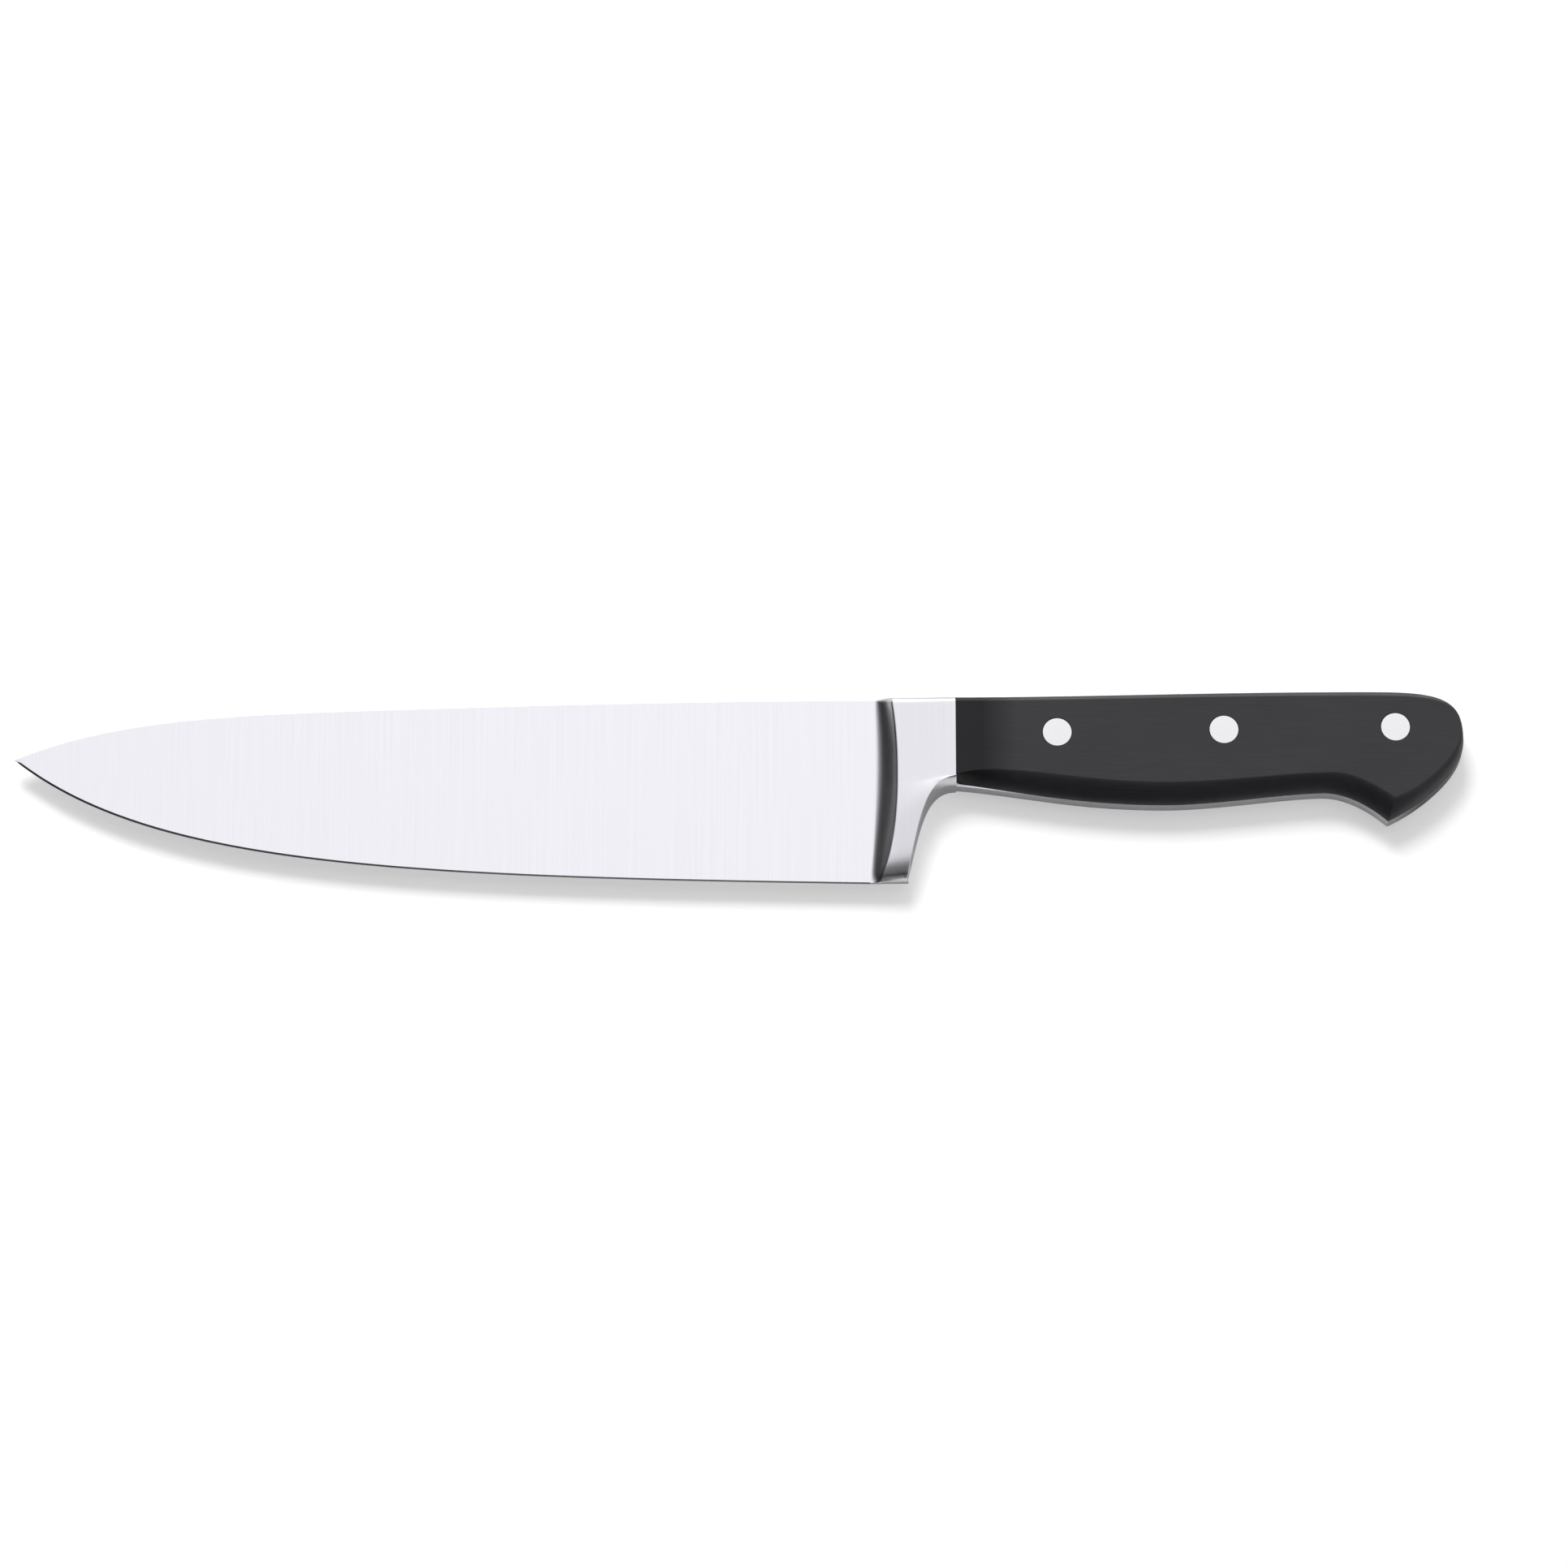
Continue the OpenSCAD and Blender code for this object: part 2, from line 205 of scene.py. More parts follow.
FRONT_LINE = [[HEEL_X - 1.3, 0], [HEEL_X - 1.1, -15], [HEEL_X - 1.1, -28], [HEEL_X - 2.4, -44]]
CRISP_LINE = [[HEEL_X + 3, -1.8], [HEEL_X + 4.8, -12], [HEEL_X + 5, -35], [HEEL_X, -44.1]]
GUARD_FACE = [[0, -19.8], [-7.6, -20.6], [-8.6, -31.5], [-11.5, -44]]
GUARD_RIM = [[0, -21.3], [-7.4, -21.2], [-8.6, -29.5], [-11.4, 0.4 - BLADE_HEIGHT]]

TOP_RIM = curve_through([
    knot(0, 0, 0, 0, 28), knot(95, CROWN, 0, 37, 15.5), knot(HANDLE_LENGTH, -10.5, -90, 11.1, 0),
])
TOP_FACE = curve_through([
    knot(0, -1.9, 0, 0, 28), knot(94, -0.7, 0, 37, 15), knot(HANDLE_LENGTH - 0.8, -8.3, -90, 7.3, 0),
])
# The tang and the scales share their outline from the middle of the belly to the butt
REAR_RIM_KNOTS = [
    knot(48, -26, 0, 20, 12),
    knot(85, -23.1, 0, 9, 4.5),
    knot(99.4, -29.9, -42, 6, 4.5, 66),
    knot(HANDLE_LENGTH, -10.5, 90, 8.7, 0),
]
TANG_BOTTOM = curve_through([knot(0, -21.3, -4, 0, 11)] + REAR_RIM_KNOTS)
SCALE_BOTTOM = curve_through(
    [knot(0, -20.1, -80, 0, 0.5), knot(1.2, -20.9, -8, 0.5, 11)] + REAR_RIM_KNOTS
)
FACE_BOTTOM = curve_through([
    knot(0, -19.6, 0, 0, 0.5),
    knot(1.2, -19.2, 15, 0.5, 11),
    knot(48, -21.4, 0, 21, 14),
    knot(87, -19.1, 0, 11, 5),
    knot(101, -25.1, -34, 5, 4.5, 58),
    knot(HANDLE_LENGTH - 0.8, -8.3, 90, 7.7, 0),
])
top_rim_y = height_table(TOP_RIM)
top_face_y = height_table(TOP_FACE)


# ---------------------------------------------------------------- mesh helpers
def new_object(name, points, faces):
    mesh = bpy.data.meshes.new(name)
    mesh.from_pydata([tuple(p) for p in to_frame(points)], [], faces)
    bm = bmesh.new()
    bm.from_mesh(mesh)
    bmesh.ops.recalc_face_normals(bm, faces=bm.faces)
    bm.to_mesh(mesh)
    bm.free()
    obj = bpy.data.objects.new(name, mesh)
    bpy.context.scene.collection.objects.link(obj)
    return obj


def combine(obj, tool, operation):
    """Boolean of obj with tool, kept as obj's own mesh. The tool is removed."""
    modifier = obj.modifiers.new("combine", "BOOLEAN")
    modifier.operation = operation
    modifier.solver = "EXACT"
    modifier.object = tool
    graph = bpy.context.evaluated_depsgraph_get()
    mesh = bpy.data.meshes.new_from_object(obj.evaluated_get(graph))
    obj.modifiers.clear()
    obj.data = mesh
    bpy.data.objects.remove(tool)


def finish_mesh(obj):
    """Merge doubles, face the normals out, and shade smooth except across sharp angles."""
    merge_distance = 1e-7
    sharp_angle = math.radians(24)
    bm = bmesh.new()
    bm.from_mesh(obj.data)
    bmesh.ops.remove_doubles(bm, verts=bm.verts, dist=merge_distance)
    bmesh.ops.recalc_face_normals(bm, faces=bm.faces)
    for edge in bm.edges:
        edge.smooth = len(edge.link_faces) == 2 and edge.calc_face_angle(0) < sharp_angle
    for face in bm.faces:
        face.smooth = True
    bm.to_mesh(obj.data)
    bm.free()
    modifier = obj.modifiers.new("normals", "WEIGHTED_NORMAL")
    modifier.keep_sharp = True
    modifier.weight = 100


def ring_quads(n, i):
    """Quads between ring i and ring i + 1, when all rings hold n points."""
    quads = []
    for k in range(n):
        following = (k + 1) % n
        quads.append([i * n + k, (i + 1) * n + k, (i + 1) * n + following, i * n + following])
    return quads


def prism(name, outline, low, high):
    """An outline pushed along z, used for the tang and to cut the rivet holes."""
    n = len(outline)
    points = [(x, y, z) for z in (low, high) for x, y in outline]
    faces = [[k, (k + 1) % n, n + (k + 1) % n, n + k] for k in range(n)]
    faces += [list(range(n))[::-1], list(range(n, 2 * n))]
    return new_object(name, points, faces)


def rim_step(flat, rim, share, full):
    """A point on the rounded way from a flat to its rim, at a share of the way."""
    angle = math.pi / 2 * share
    across = math.sin(angle) ** (2 / full)
    up = max(0, math.cos(angle)) ** (2 / full)
    x, y = lerp(flat[0], rim[0], across), lerp(flat[1], rim[1], across)
    return np.array([x, y, lerp(rim[2], flat[2], up)])


def full_turn():
    return [2 * math.pi * k / TURN_STEPS for k in range(TURN_STEPS)]


def drill(obj, centre, radius, low, high):
    """Cut a round hole along z."""
    outline = [(centre[0] + radius * math.cos(a), centre[1] + radius * math.sin(a)) for a in full_turn()]
    low, high = sorted([low, high])
    combine(obj, prism("cutter", outline, low, high), "DIFFERENCE")


# ---------------------------------------------------------------- forging: blade and bolster
BLADE_COLUMNS = 120                     # from the tip to the bolster
ROWS = 40                               # from the spine to the edge
CORNER_ROW = 18                         # where the scales' front ends and the finger guard begins
RIM_STEPS = 8                           # from a flat to the rim
CROWDING = 1.5                          # of the columns towards the tip, and of the rows towards the heel
# Where the columns stand across the bolster: shares of the ramp, then of the flat behind the crisp edge
RAMP_SHARES = [0.08, 0.16, 0.26, 0.36, 0.46, 0.56, 0.66, 0.75, 0.83, 0.9, 0.95, 0.98, 1]
FLAT_SHARES = [0.012, 0.03, 0.06, 0.1, 0.2, 0.35, 0.5, 0.65, 0.8, 0.92]


def from_tip(x):
    return max(0, (x - TIP_X) / BLADE_LENGTH)


def spine_half(x):
    return lerp(TIP_THICKNESS, SPINE_THICKNESS, from_tip(x) ** SPINE_TAPER) / 2


def top_y(x):
    return spine_y(x) if x < HEEL_X else 0


def bottom_y(x):
    return edge_y(x) if x < HEEL_X else -BLADE_HEIGHT


def bevel_height(x, height):
    """Height of the sharpened bevel, where the blade is this high."""
    wanted = lerp(EDGE_HEIGHT, TIP_EDGE_HEIGHT, (1 - min(1, from_tip(x))) ** EDGE_WIDENING)
    return min(wanted, MOST_BEVEL * height)


def blade_point(share, v):
    """A point of the blade's flat; share runs from the tip to the bolster, v from the spine to the edge."""
    x = lerp(TIP_X + NOSE_LENGTH, bezier(FRONT_LINE, v)[0], share)
    height = top_y(x) - bottom_y(x)
    high = top_y(x) - SPINE_ROUNDING * min(spine_half(x), height)
    low = bottom_y(x) + bevel_height(x, height)
    half = min(spine_half(x), EDGE_THICKNESS / 2 + TIP_WEDGE * height)
    return np.array([x, lerp(high, low, v), lerp(half, EDGE_THICKNESS / 2, v)])


def guard_share(r):
    """How far down the finger guard a row meets it; the rows crowd towards the heel."""
    return 1 - min(1, (ROWS - r) / (ROWS - CORNER_ROW)) ** CROWDING


def guard_curl(y):
    """The share of the thickness left at a height on the finger guard, which curls in to the heel."""
    top, bottom = GUARD_FACE[0][1], CURL_END - BLADE_HEIGHT
    depth = clamp((top - y) / (top - bottom))
    return (1 - depth ** CURL_POWER) ** (1 / CURL_POWER)


def rear_of_row(r, top, guard, half):
    """Where a row ends: against the scales, or below them on a curve of the finger guard."""
    if r < CORNER_ROW:
        x, y = 0, lerp(top, guard[0][1], r / CORNER_ROW)
    else:
        x, y = bezier(guard, guard_share(r))
    return np.array([x, y, lerp(HEEL_THICKNESS / 2, half, guard_curl(y))])


def rear_point(r):
    return rear_of_row(r, TOP_FACE[0][1], GUARD_FACE, HALF_HANDLE)


def rear_rim(r):
    return rear_of_row(r, 0, GUARD_RIM, HALF_BAND)


def soft_min(a, b, radius):
    """The smaller of two heights, rounded where they cross."""
    h = clamp(0.5 + 0.5 * (b - a) / radius)
    return lerp(b, a, h) - radius * h * (1 - h)


def bolster_row(r):
    """Points across the bolster on one row, from just behind the front line to the scales."""
    front, rear = blade_point(1, r / ROWS), rear_point(r)
    edge = bezier(CRISP_LINE, r / ROWS)
    crisp = np.array([edge[0], edge[1], FRONT_SHARE * rear[2]])
    ramp_length = np.linalg.norm(crisp[:2] - front[:2])
    flat_length = np.linalg.norm(rear[:2] - crisp[:2])
    rise = crisp[2] - front[2]
    slope = (rear[2] - crisp[2]) / flat_length
    radius = min(CREASE_RADIUS, CREASE_SHARE * rise)
    points = []
    for u in RAMP_SHARES:
        p = lerp(front, crisp, u)
        flat_z = crisp[2] - slope * (1 - u) * ramp_length
        p[2] = soft_min(front[2] + rise * u ** RAMP_POWER, flat_z, radius)
        points.append(p)
    for u in FLAT_SHARES:
        p = lerp(crisp, rear, u)
        ramp_z = crisp[2] + RAMP_POWER * rise * u * flat_length / ramp_length
        p[2] = soft_min(ramp_z, p[2], radius)
        points.append(p)
    points.append(lerp(crisp, rear, 1 - REAR_CHAMFER / flat_length))
    points.append(rear - np.array([0, 0, CHAMFER_DROP]))
    return points


def skin_grid():
    """The upper side of the blade and the bolster, in rows from the tip to the scales."""
    shares = [(c / BLADE_COLUMNS) ** CROWDING for c in range(BLADE_COLUMNS + 1)]
    return [[blade_point(s, r / ROWS) for s in shares] + bolster_row(r) for r in range(ROWS + 1)]


def rim_point(grid, c, r):
    """The outline beside a border point, where the two sides of the forging are joined."""
    last = len(grid[0]) - 1
    p = grid[r][c]
    across_bolster = max(0, (c - BLADE_COLUMNS) / (last - BLADE_COLUMNS))
    if c == last:
        return rear_rim(r)
    if r == 0:
        return np.array([p[0], top_y(p[0]), min(HALF_BAND, SPINE_FLAT * p[2])])
    if r == ROWS:
        y = lerp(bottom_y(p[0]), rear_rim(ROWS)[1], across_bolster)
        half = lerp(SHARP_EDGE, HEEL_THICKNESS / 2, across_bolster ** HEEL_GROWTH)
        return np.array([p[0] + HEEL_SWEEP * across_bolster, y, half])
    down = r / ROWS
    y = TIP[1] + lerp(NOSE_HALF_HEIGHT, -NOSE_HALF_HEIGHT, down)
    return np.array([TIP_X, y, lerp(NOSE_HALF_THICKNESS, SHARP_EDGE, down)])


def rim_fullness(c, r, last):
    """How round the edge is at a border point."""
    if r == ROWS:
        return BEVEL if c <= BLADE_COLUMNS else ELLIPSE
    if c == last:
        return GUARD_FULLNESS
    return TOP_FULLNESS if c > BLADE_COLUMNS else ELLIPSE


def build_forging():
    grid = skin_grid()
    last = len(grid[0]) - 1
    border = [(c, 0) for c in range(last + 1)]
    border += [(last, r) for r in range(1, ROWS + 1)]
    border += [(c, ROWS) for c in range(last - 1, -1, -1)]
    border += [(0, r) for r in range(ROWS - 1, 0, -1)]
    n = len(border)
    flip = np.array([1, 1, -1])

    upper_rings = []
    for s in range(RIM_STEPS + 1):
        ring = []
        for c, r in border:
            full = rim_fullness(c, r, last)
            ring.append(rim_step(grid[r][c], rim_point(grid, c, r), s / RIM_STEPS, full))
        upper_rings.append(ring)
    rings = upper_rings + [[p * flip for p in ring] for ring in upper_rings[::-1]]
    inside = [grid[r][c] for c in range(1, last) for r in range(1, ROWS)]
    points = [p for ring in rings for p in ring] + inside + [p * flip for p in inside]

    border_number = {cr: k for k, cr in enumerate(border)}
    upper_start = len(rings) * n
    lower_start = upper_start + len(inside)

    def number(c, r, ring_start, inside_start):
        if (c, r) in border_number:
            return ring_start + border_number[(c, r)]
        return inside_start + (c - 1) * (ROWS - 1) + r - 1

    faces = [q for i in range(len(rings) - 1) for q in ring_quads(n, i)]
    for c in range(last):
        for r in range(ROWS):
            corners = [(c, r), (c + 1, r), (c + 1, r + 1), (c, r + 1)]
            faces.append([number(a, b, 0, upper_start) for a, b in corners][::-1])
            faces.append([number(a, b, (len(rings) - 1) * n, lower_start) for a, b in corners])
    forging = new_object("forging", points, faces)
    combine(forging, build_tang(), "UNION")
    for centre in RIVETS.values():
        drill(forging, centre, TUBE_RADIUS + HOLE_CLEARANCE, -HALF_TANG - CUT_PAST, HALF_TANG + CUT_PAST)
    return forging


def build_tang():
    """The full tang, let half a millimetre into the bolster, and a hair below the handle's back."""
    let_in = 0.5
    let_in_bottom = -21.2
    inset = 0.002
    low = samples(TANG_BOTTOM, 40)
    high = [(x, top_rim_y(x) - inset) for x in low[-2::-1, 0]]
    outline = [(-let_in, let_in_bottom)] + [tuple(p) for p in low] + high + [(-let_in, -inset)]
    return prism("tang", outline, -HALF_TANG, HALF_TANG)


# ---------------------------------------------------------------- scales
SCALE_STEPS = 36                        # along each span of the outline
LEVELS = 18                             # from the tang up to the flat


def fullness(x, y):
    """How round a scale's edge is at a point of its rim."""
    if y > BELLY_Y:
        return TOP_FULLNESS
    return lerp(BELLY_FULLNESS, TOP_FULLNESS, clamp((x - BUTT_TURN_X) / BUTT_TURN_LENGTH))


def scale_side():
    """Pairs of a face point and a rim point: along the bottom from the front, then back along the top."""
    low = list(zip(samples(FACE_BOTTOM, SCALE_STEPS), samples(SCALE_BOTTOM, SCALE_STEPS)))
    high = [((face[0], top_face_y(face[0])), (rim[0], top_rim_y(rim[0]))) for face, rim in low[-2::-1]]
    return low + high


def scale_level(side, share):
    """A ring around a scale, at a share of the way from its face to its rim."""
    ring = []
    for face, rim in side:
        ring.append(rim_step((*face, HALF_HANDLE), (*rim, HALF_TANG), share, fullness(*rim)))
    return ring


def level_strips(n, start):
    """Strips across a level, from its lower edge to its upper edge."""
    last = (n - 1) // 2
    strips = [[start + i, start + i + 1, start + n - 2 - i, start + n - 1 - i] for i in range(last - 1)]
    return strips + [[start + last - 1, start + last, start + last + 1]]


def build_scale(name, side_sign):
    side = scale_side()
    n = len(side)
    points = [p for k in range(LEVELS + 1) for p in scale_level(side, 1 - k / LEVELS)]
    points = [(x, y, side_sign * z) for x, y, z in points]
    faces = [q for i in range(LEVELS) for q in ring_quads(n, i)]
    faces += level_strips(n, LEVELS * n) + level_strips(n, 0)
    scale = new_object(name, points, faces)
    inner, seat, outer = HALF_TANG - CUT_PAST, HALF_HANDLE - HEAD_THICKNESS, HALF_HANDLE + CUT_PAST
    for centre in RIVETS.values():
        drill(scale, centre, TUBE_RADIUS + HOLE_CLEARANCE, side_sign * inner, side_sign * outer)
        drill(scale, centre, HEAD_RADIUS + HOLE_CLEARANCE, side_sign * seat, side_sign * outer)
    return scale


# ---------------------------------------------------------------- rivets
def head_profile():
    """Outside of a head, from its middle to its underside: a slightly crowned face and a broken edge."""
    steps = 8
    points = []
    for k in range(steps + 1):
        share = k / steps
        points.append(((HEAD_RADIUS - HEAD_CHAMFER) * share, HALF_HANDLE - HEAD_CROWN * share ** 2))
    points.append((HEAD_RADIUS, HALF_HANDLE - HEAD_CROWN - HEAD_CHAMFER))
    points.append((HEAD_RADIUS, HALF_HANDLE - HEAD_THICKNESS))
    return points


def turned(name, centre, profile, side_sign):
    """A piece turned about the rivet's axis. The object sits at its own centre, for its material's sake."""
    bm = bmesh.new()
    rings = []
    for radius, z in profile:
        z = side_sign * z * MM
        if radius == 0:
            rings.append([bm.verts.new((0, 0, z))])
            continue
        r = radius * MM
        rings.append([bm.verts.new((r * math.cos(a), r * math.sin(a), z)) for a in full_turn()])
    for a, b in zip(rings, rings[1:]):
        for k in range(TURN_STEPS):
            corners = [a[k % len(a)], a[(k + 1) % len(a)], b[(k + 1) % len(b)], b[k % len(b)]]
            bm.faces.new(list(dict.fromkeys(corners)))
    mesh = bpy.data.meshes.new(name)
    bm.to_mesh(mesh)
    bm.free()
    obj = bpy.data.objects.new(name, mesh)
    obj.location = ORIGIN + Vector((centre[0], centre[1], 0)) * MM
    bpy.context.scene.collection.objects.link(obj)
    return obj


def build_socket(name, centre):
    under_head = HALF_HANDLE - HEAD_THICKNESS
    profile = head_profile()
    profile += [(TUBE_RADIUS, under_head), (TUBE_RADIUS, -SHANK_END)]
    bore_radius = PIN_RADIUS + PIN_CLEARANCE
    profile += [(bore_radius, -SHANK_END), (bore_radius, under_head), (0, under_head)]
    return turned(name, centre, profile, 1)


def build_pin(name, centre):
    profile = head_profile()
    profile += [(PIN_RADIUS, HALF_HANDLE - HEAD_THICKNESS), (PIN_RADIUS, PIN_CHAMFER - SHANK_END)]
    profile += [(PIN_RADIUS - PIN_CHAMFER, -SHANK_END), (0, -SHANK_END)]
    return turned(name, centre, profile, -1)


# ---------------------------------------------------------------- materials
TANG_SHADE = (101, 107)                   # where painted shade darkens the tang's end
SCALE_FRONT_SHADE = (6, 14)                   # where the painted shade on the scales' front fades out
PAPER = 0.46                            # how light the floor is, before its glow
PAPER_GLOW = 0.1
GLOW_FOR_CAMERA = 0.5


def node_material(name):
    material = bpy.data.materials.new(name)
    material.use_nodes = True
    nodes = material.node_tree.nodes
    return material, nodes, material.node_tree.links, nodes["Principled BSDF"]


def add_node(nodes, kind, **inputs):
    node = nodes.new(kind)
    for key, value in inputs.items():
        node.inputs[key].default_value = value
    return node


def noise_along(nodes, links, scale, detail):
    """Noise in object space, stretched by a different scale on each axis."""
    place = nodes.new("ShaderNodeTexCoord")
    stretch = add_node(nodes, "ShaderNodeMapping", Scale=scale)
    noise = add_node(nodes, "ShaderNodeTexNoise", Scale=1.0, Detail=detail, Roughness=0.6)
    links.new(place.outputs["Object"], stretch.inputs["Vector"])
    links.new(stretch.outputs["Vector"], noise.inputs["Vector"])
    return noise.outputs["Fac"]


def map_range(nodes, links, value, from_range, to_range):
    node = nodes.new("ShaderNodeMapRange")
    node.inputs["From Min"].default_value, node.inputs["From Max"].default_value = from_range
    node.inputs["To Min"].default_value, node.inputs["To Max"].default_value = to_range
    links.new(value, node.inputs["Value"])
    return node.outputs["Result"]


def remap(nodes, links, value, low, high):
    """Stretch the middle of a noise to the range from low to high."""
    return map_range(nodes, links, value, (0.3, 0.7), (low, high))


def tint(nodes, links, value, dark, light):
    """A colour between dark and light. Among the node's sockets, 0 is the factor, 6 and 7 the colours."""
    node = nodes.new("ShaderNodeMix")
    node.data_type = "RGBA"
    node.inputs[6].default_value = (*dark, 1)
    node.inputs[7].default_value = (*light, 1)
    links.new(value, node.inputs[0])
    return node.outputs[2]


def along_x(nodes, links, x_range, values):
    """A value that changes between two places along the knife."""
    place = nodes.new("ShaderNodeTexCoord")
    axes = nodes.new("ShaderNodeSeparateXYZ")
    links.new(place.outputs["Object"], axes.inputs["Vector"])
    between = [ORIGIN.x + x * MM for x in x_range]
    return map_range(nodes, links, axes.outputs["X"], between, values)


def shaded(nodes, links, colour, factor):
    """A colour multiplied by a factor."""
    shade = nodes.new("ShaderNodeVectorMath")
    shade.operation = "SCALE"
    links.new(colour, shade.inputs[0])
    links.new(factor, shade.inputs["Scale"])
    return shade.outputs["Vector"]


def add_bump(nodes, links, shader, height, strength, distance):
    bump = add_node(nodes, "ShaderNodeBump", Strength=strength, Distance=distance)
    links.new(height, bump.inputs["Height"])
    links.new(bump.outputs["Normal"], shader.inputs["Normal"])


def steel_material():
    """Satin steel, ground across the blade, so that the fine lines run from spine to edge."""
    material, nodes, links, shader = node_material("satin_steel")
    lines = noise_along(nodes, links, (2500, 22, 22), 1)
    colour = tint(nodes, links, lines, (0.84, 0.835, 0.86), (0.92, 0.915, 0.94))
    # The bolster is ground finer than the blade and reads a little greyer, and the tang's end is darkened
    # with painted shade, for the shadowed floor that it mirrors
    greyer = along_x(nodes, links, (HEEL_X, CRISP_LINE[1][0]), (1, 0.91))
    painted_tang_shade = along_x(nodes, links, TANG_SHADE, (1, 0.25))
    colour = shaded(nodes, links, shaded(nodes, links, colour, greyer), painted_tang_shade)
    links.new(colour, shader.inputs["Base Color"])
    links.new(remap(nodes, links, lines, 0.28, 0.3), shader.inputs["Roughness"])
    shader.inputs["Metallic"].default_value = 1
    return material


def plastic_material():
    """Matte black moulded plastic, polished lengthwise."""
    material, nodes, links, shader = node_material("black_plastic")
    grain = noise_along(nodes, links, (90, 2200, 2200), 3)
    cloud = noise_along(nodes, links, (60, 60, 60), 2)
    colour = tint(nodes, links, grain, (0.011, 0.01, 0.014), (0.032, 0.031, 0.038))
    # Painted shade: the front of the scales is darkened and its reflection dimmed, for a dark reflection
    # that falls there
    colour = shaded(nodes, links, colour, along_x(nodes, links, SCALE_FRONT_SHADE, (0.4, 1)))
    links.new(colour, shader.inputs["Base Color"])
    links.new(along_x(nodes, links, SCALE_FRONT_SHADE, (0.3, 0.55)), shader.inputs["Specular IOR Level"])
    links.new(remap(nodes, links, cloud, 0.42, 0.5), shader.inputs["Roughness"])
    add_bump(nodes, links, shader, grain, 0.1, 0.00003)
    return material


def rivet_material():
    """Turned aluminium: faint rings about each rivet's own axis."""
    material, nodes, links, shader = node_material("turned_aluminium")
    place = nodes.new("ShaderNodeTexCoord")
    rings = add_node(nodes, "ShaderNodeTexWave", Scale=900.0, Distortion=1.5, Detail=2.0)
    rings.wave_type = "RINGS"
    rings.rings_direction = "Z"
    links.new(place.outputs["Object"], rings.inputs["Vector"])
    colour = tint(nodes, links, rings.outputs["Fac"], (0.8, 0.805, 0.805), (0.87, 0.875, 0.87))
    links.new(colour, shader.inputs["Base Color"])
    links.new(remap(nodes, links, rings.outputs["Fac"], 0.26, 0.32), shader.inputs["Roughness"])
    shader.inputs["Metallic"].default_value = 1
    return material


def seen_by_camera(nodes, links, otherwise, camera):
    """A value that differs for the camera's own rays."""
    path = nodes.new("ShaderNodeLightPath")
    pick = nodes.new("ShaderNodeMapRange")
    links.new(path.outputs["Is Camera Ray"], pick.inputs["Value"])
    for key, value in (("To Min", otherwise), ("To Max", camera)):
        if isinstance(value, float):
            pick.inputs[key].default_value = value
        else:
            links.new(value, pick.inputs[key])
    return pick.outputs["Result"]


def floor_material():
    """Glowing paper. It glows more for the camera, which sees it white with soft shadows."""
    material, nodes, links, shader = node_material("pale_floor")
    mottle = noise_along(nodes, links, (3, 3, 3), 2)
    paper = nodes.new("ShaderNodeBsdfDiffuse")
    links.new(remap(nodes, links, mottle, 0.99 * PAPER, PAPER), paper.inputs["Color"])
    glow = nodes.new("ShaderNodeEmission")
    links.new(seen_by_camera(nodes, links, PAPER_GLOW, GLOW_FOR_CAMERA), glow.inputs["Strength"])
    both = nodes.new("ShaderNodeAddShader")
    links.new(paper.outputs["BSDF"], both.inputs[0])
    links.new(glow.outputs["Emission"], both.inputs[1])
    nodes.remove(shader)
    links.new(both.outputs[0], nodes["Material Output"].inputs["Surface"])
    return material


# ---------------------------------------------------------------- stage, light and camera
FLOOR_HALF = 2.0                        # metres
CEILING = 1.2                           # height of the overhead panels


def build_floor():
    corners = [(x * FLOOR_HALF, y * FLOOR_HALF, 0) for x, y in ((-1, -1), (1, -1), (1, 1), (-1, 1))]
    mesh = bpy.data.meshes.new("floor")
    mesh.from_pydata(corners, [], [[0, 1, 2, 3]])
    floor = bpy.data.objects.new("floor", mesh)
    floor.location.z = blade_low.z
    bpy.context.scene.collection.objects.link(floor)
    mesh.materials.append(floor_material())
    return floor


def add_softbox(name, place, target, size, power, colour=(1, 1, 1)):
    light = bpy.data.lights.new(name, "AREA")
    light.shape = "RECTANGLE"
    light.size, light.size_y = size
    light.energy = power
    light.color = colour
    obj = bpy.data.objects.new(name, light)
    obj.location = place
    obj.rotation_euler = (Vector(target) - Vector(place)).to_track_quat("-Z", "Y").to_euler()
    bpy.context.scene.collection.objects.link(obj)
    return obj


def light_only(light, objects):
    """Let a light reach only these objects."""
    lit = bpy.data.collections.new("lit_by_" + light.name)
    for obj in objects:
        lit.objects.link(obj)
    light.light_linking.receiver_collection = lit


def add_overhead(name, x, y, size, power):
    """A cool panel that faces straight down."""
    add_softbox(name, (x, y, CEILING), (x, y, 0), size, power, (0.975, 0.965, 1.0))


def build_light(floor, metal):
    """The softbox that the blade mirrors, dim panels beside it, and panels at the back and front.

    The rim panel shows only in reflections, along the knife's back. The front panel lights only the
    metal, and the key only the floor, where it throws the shadows. Sizes are in metres.
    """
    add_overhead("overhead", 0.1, 0.57, (1.6, 1.5), 7.9)
    add_overhead("dim_left", -0.95, 0.57, (0.5, 1.5), 0.6)
    add_overhead("dim_front", 0.1, -0.68, (1.6, 1.0), 0.7)
    rim = add_softbox("rim", (0.35, 1.45, 0.5), (0.35, 0, 0.3), (1.3, 1.0), 11)
    rim.visible_diffuse = False
    front = add_softbox("front", (0.5, -1.6, 0.45), (0.5, 0, 0.3), (2.2, 0.9), 1.0)
    light_only(front, metal)
    key = add_softbox("paper_key", (-0.2, 0.85, 1.25), (0, 0, 0), (0.6, 0.6), 26)
    light_only(key, [floor])
    build_world()


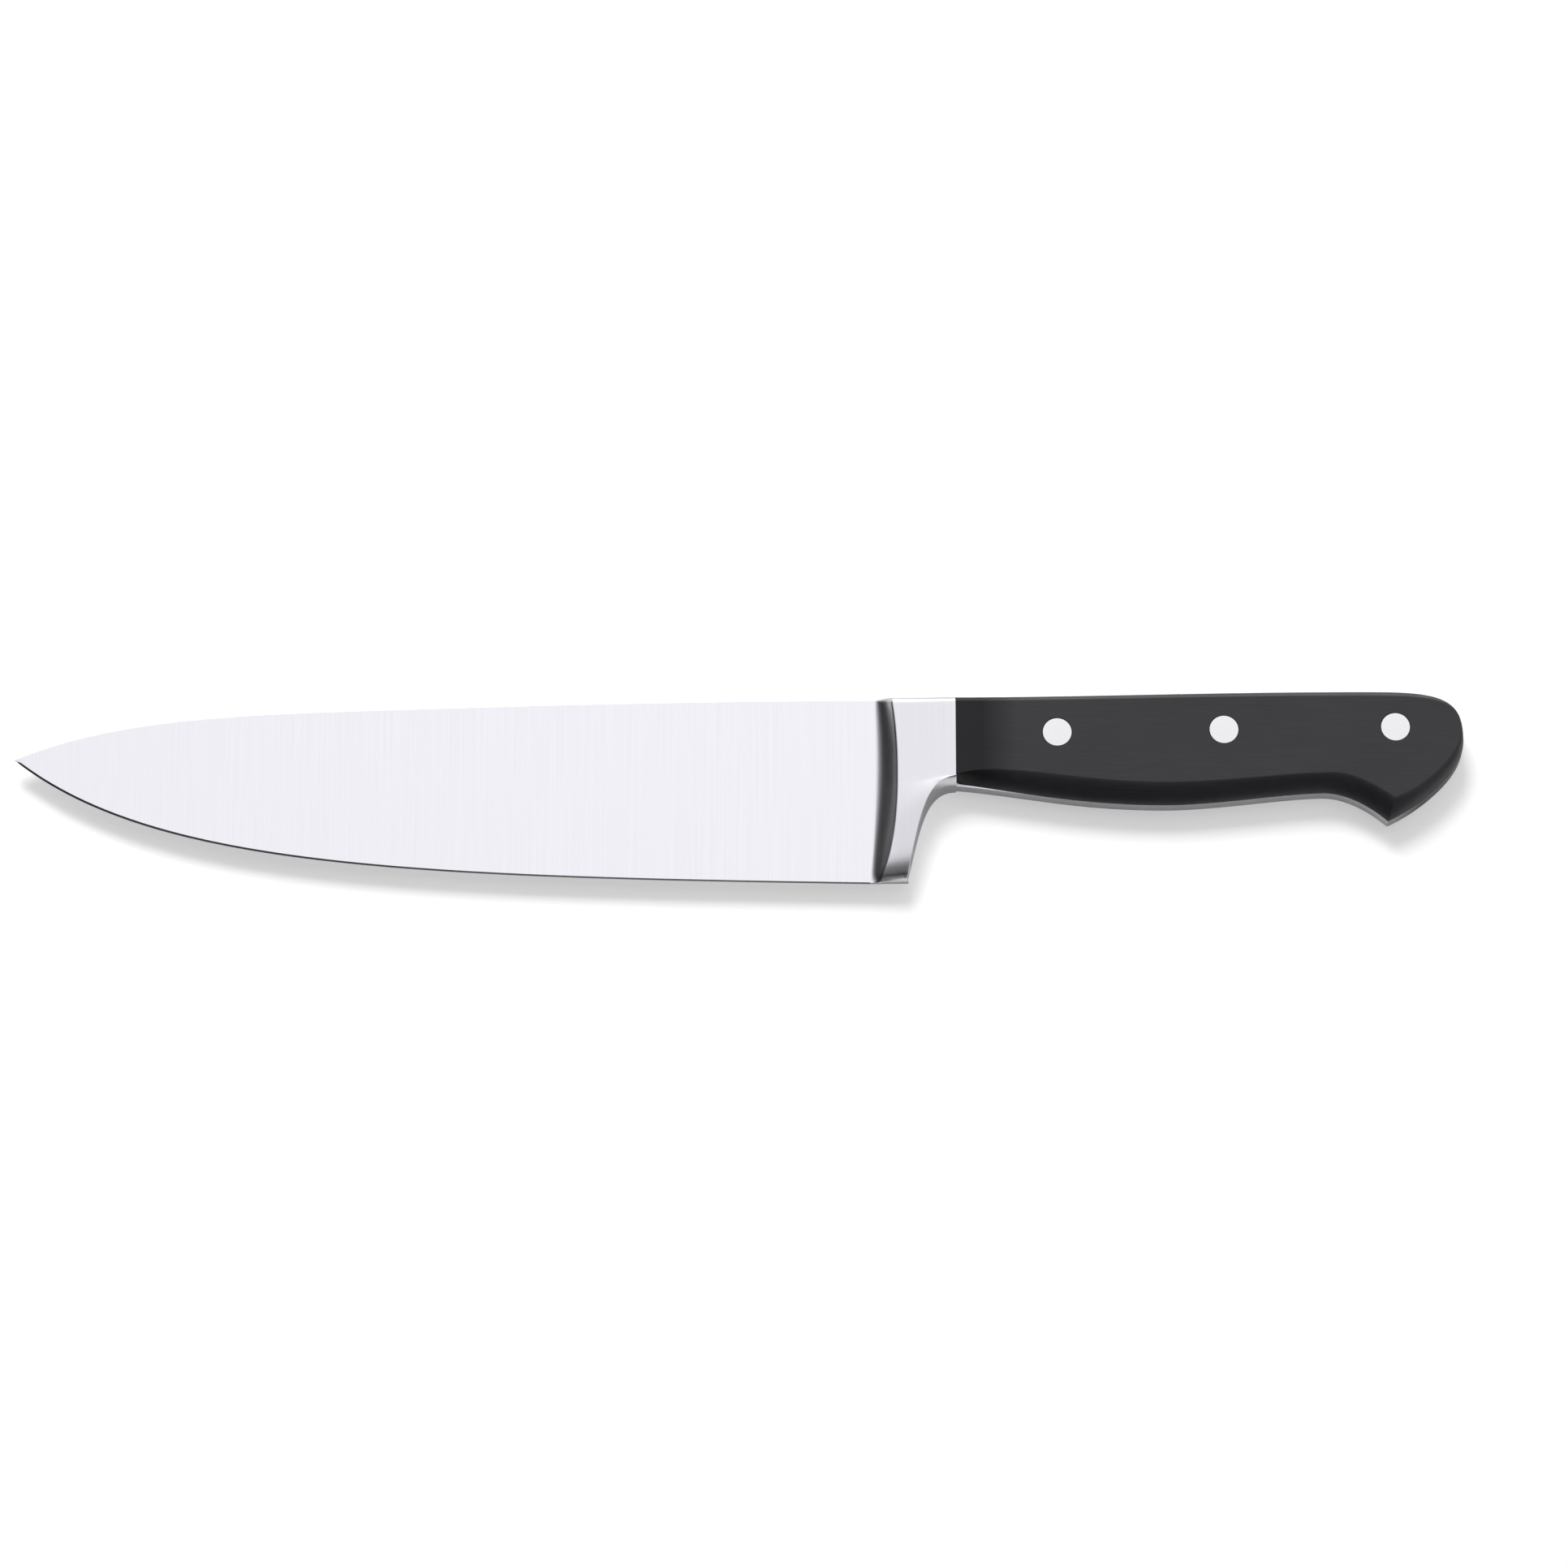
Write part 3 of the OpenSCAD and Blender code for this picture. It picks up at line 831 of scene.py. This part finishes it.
def build_world():
    """Bright behind the spine and beyond the butt, and dark elsewhere. The camera sees it white."""
    world = bpy.data.worlds.new("studio")
    bpy.context.scene.world = world
    world.use_nodes = True
    nodes, links = world.node_tree.nodes, world.node_tree.links
    place = nodes.new("ShaderNodeTexCoord")
    axes = nodes.new("ShaderNodeSeparateXYZ")
    links.new(place.outputs["Generated"], axes.inputs["Vector"])
    behind = map_range(nodes, links, axes.outputs["Y"], (0.45, 0.75), (0, 0.6))
    beyond = map_range(nodes, links, axes.outputs["X"], (0.3, 0.7), (0, 0.5))
    glow = nodes.new("ShaderNodeMath")
    glow.operation = "MAXIMUM"
    links.new(behind, glow.inputs[0])
    links.new(beyond, glow.inputs[1])
    background = nodes["Background"]
    background.inputs["Color"].default_value = (1, 1, 1, 1)
    links.new(seen_by_camera(nodes, links, glow.outputs[0], 1.0), background.inputs["Strength"])


def build_camera():
    """A long lens, 71.5 degrees up, over the long side of the knife with the tip to the left."""
    elevation = math.radians(71.5)
    distance = 1.8
    frame_width = 0.36225               # metres across the picture, at the knife
    aim = ORIGIN + Vector((-39.75, -20.15, 0)) * MM
    camera = bpy.data.cameras.new("camera")
    camera.sensor_width = 36
    camera.lens = camera.sensor_width * distance / frame_width
    obj = bpy.data.objects.new("camera", camera)
    obj.location = aim + distance * Vector((0, -math.cos(elevation), math.sin(elevation)))
    obj.rotation_euler = (math.pi / 2 - elevation, 0, 0)
    bpy.context.scene.collection.objects.link(obj)
    bpy.context.scene.camera = obj


# ---------------------------------------------------------------- assembly
def add_piece(obj, node, material):
    obj.data.materials.clear()
    obj.data.materials.append(material)
    finish_mesh(obj)
    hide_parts(node)
    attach(obj, "root")
    return obj


steel = steel_material()
plastic = plastic_material()
aluminium = rivet_material()

metal = [add_piece(build_forging(), "blade", steel)]
add_piece(build_scale("left_handle_scale", 1), "left_scale", plastic)
add_piece(build_scale("right_handle_scale", -1), "right_scale", plastic)
for name, centre in RIVETS.items():
    socket = build_socket(name + "_socket_half", centre)
    pin = build_pin(name + "_pin_half", centre)
    metal.append(add_piece(socket, name + "_rivet_socket", aluminium))
    metal.append(add_piece(pin, name + "_rivet_pin", aluminium))

build_light(build_floor(), metal)
build_camera()
bpy.context.scene.view_settings.view_transform = "Standard"
